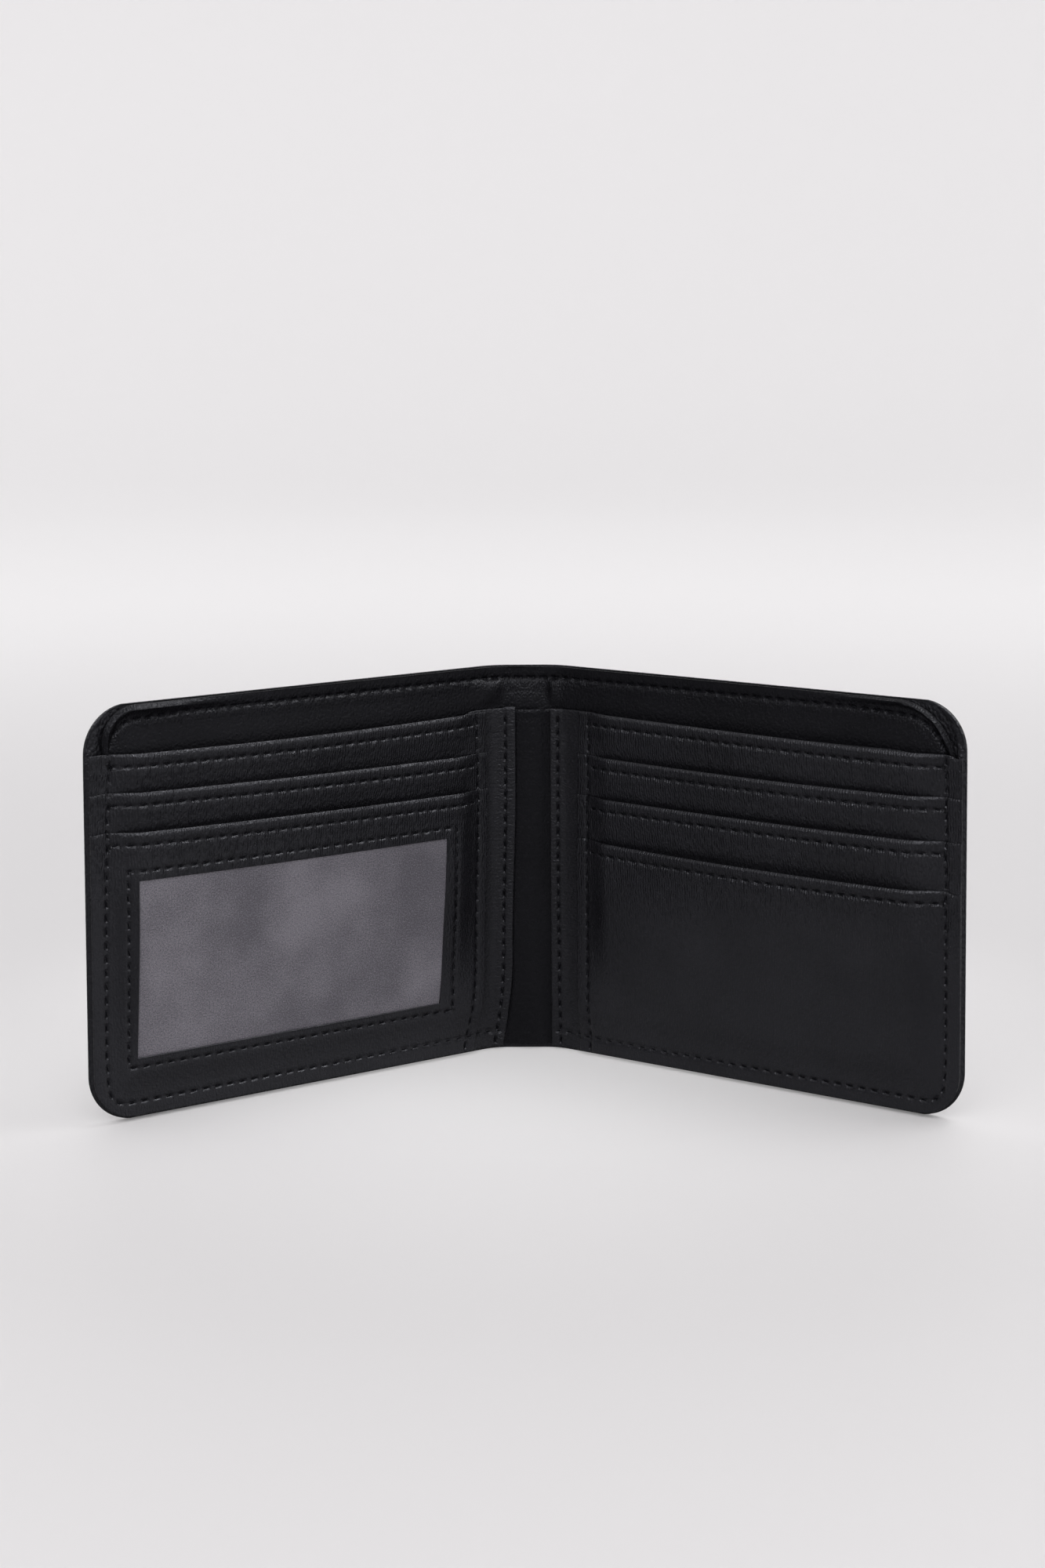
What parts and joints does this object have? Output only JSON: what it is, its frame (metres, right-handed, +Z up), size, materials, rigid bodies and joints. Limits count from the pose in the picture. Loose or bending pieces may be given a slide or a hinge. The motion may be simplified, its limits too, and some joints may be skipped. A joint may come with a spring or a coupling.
{
  "type": "bifold wallet",
  "caption": "Black leather bifold wallet standing open, with card pockets, a frosted ID window, slip pockets and a divided banknote compartment.",
  "frame": {"origin": "the middle of the spine's bottom edge, in the mid-plane of the shell leather, on the surface that the wallet stands on", "axes": "+Z up along the fold lines, +X to the right as the open inside is seen, -Y out of the open inside"},
  "size_m": [0.1974, 0.066, 0.095],
  "materials": {
    "outer_leather": "satin",
    "inner_leather": "satin",
    "lining_cloth": "matte",
    "stiff_board": "matte",
    "frosted_film": "satin"
  },
  "bodies": {
    "spine": {"shell_spine": "outer_leather", "lining_spine": "lining_cloth", "divider_spine": "inner_leather", "inner_panel_spine": "inner_leather"},
    "left_wing": {"shell_left": "outer_leather", "stiffener_left": "stiff_board", "lining_left": "lining_cloth", "divider_left": "inner_leather", "inner_panel_left": "inner_leather", "slip_pocket_left": "inner_leather", "card_pocket_left_1": "inner_leather", "card_pocket_left_2": "inner_leather", "window_film": "frosted_film", "window_panel": "inner_leather"},
    "right_wing": {"shell_right": "outer_leather", "stiffener_right": "stiff_board", "lining_right": "lining_cloth", "divider_right": "inner_leather", "inner_panel_right": "inner_leather", "slip_pocket_right": "inner_leather", "card_pocket_right_1": "inner_leather", "card_pocket_right_2": "inner_leather", "card_pocket_right_3": "inner_leather", "card_pocket_right_4": "inner_leather"}
  },
  "joints": [
    {"name": "left_fold", "type": "hinge", "parent": "spine", "child": "left_wing", "pos_m": [-0.008, 0, 0], "axis": [0, 0, 1], "range_deg": [-33.8, 56.2]},
    {"name": "right_fold", "type": "hinge", "parent": "spine", "child": "right_wing", "pos_m": [0.008, 0, 0], "axis": [0, 0, -1], "range_deg": [-33.8, 56.2]}
  ]
}
